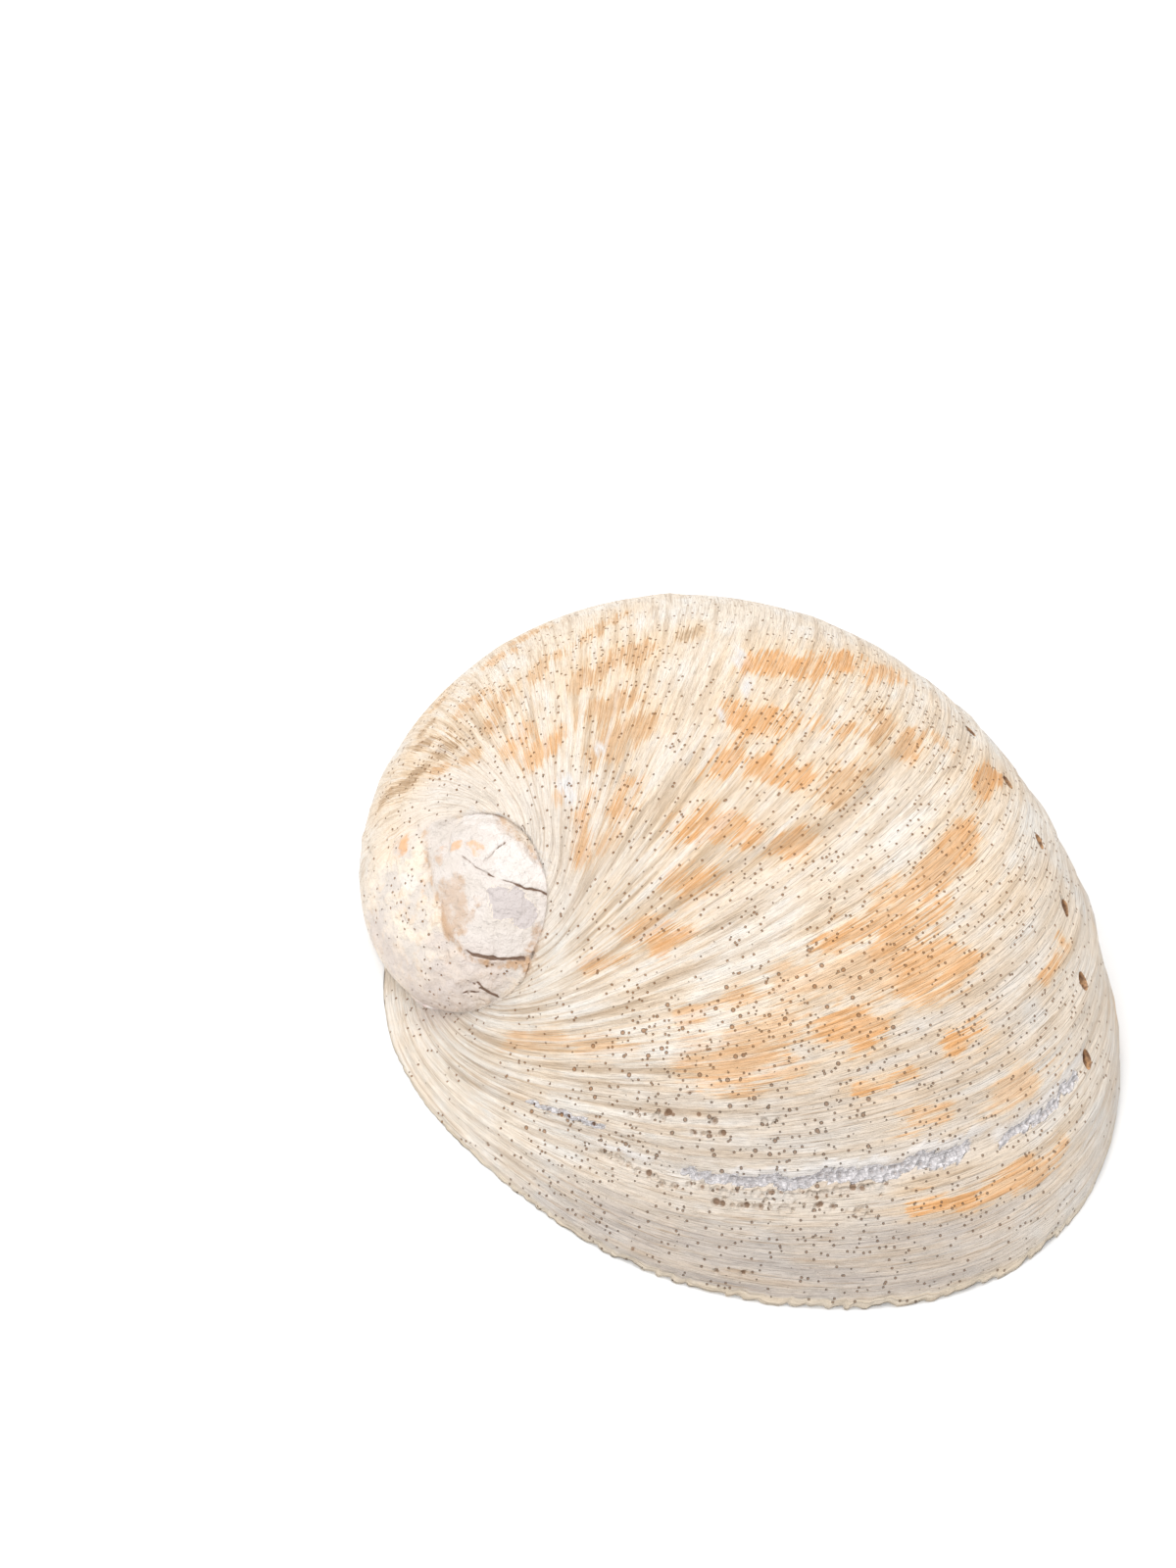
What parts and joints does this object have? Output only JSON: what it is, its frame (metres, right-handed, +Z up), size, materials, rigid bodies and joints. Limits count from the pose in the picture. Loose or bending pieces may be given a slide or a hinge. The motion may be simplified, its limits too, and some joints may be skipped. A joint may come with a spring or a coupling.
{
  "type": "abalone shell",
  "caption": "Ear-shaped domed sea snail shell lying dome up, with a low worn spire, growth ledges, a row of breathing holes and an open nacre-lined hollow below.",
  "frame": {"origin": "middle of the plan outline, on the plane that the lip rests on", "axes": "+X towards the growing front end of the shell, along its length, +Y towards the side that carries the row of holes, +Z up through the dome"},
  "size_m": [0.1448, 0.1164, 0.0464],
  "materials": {
    "shell": "satin"
  },
  "bodies": {
    "root": {"abalone_shell": "shell"}
  },
  "joints": []
}
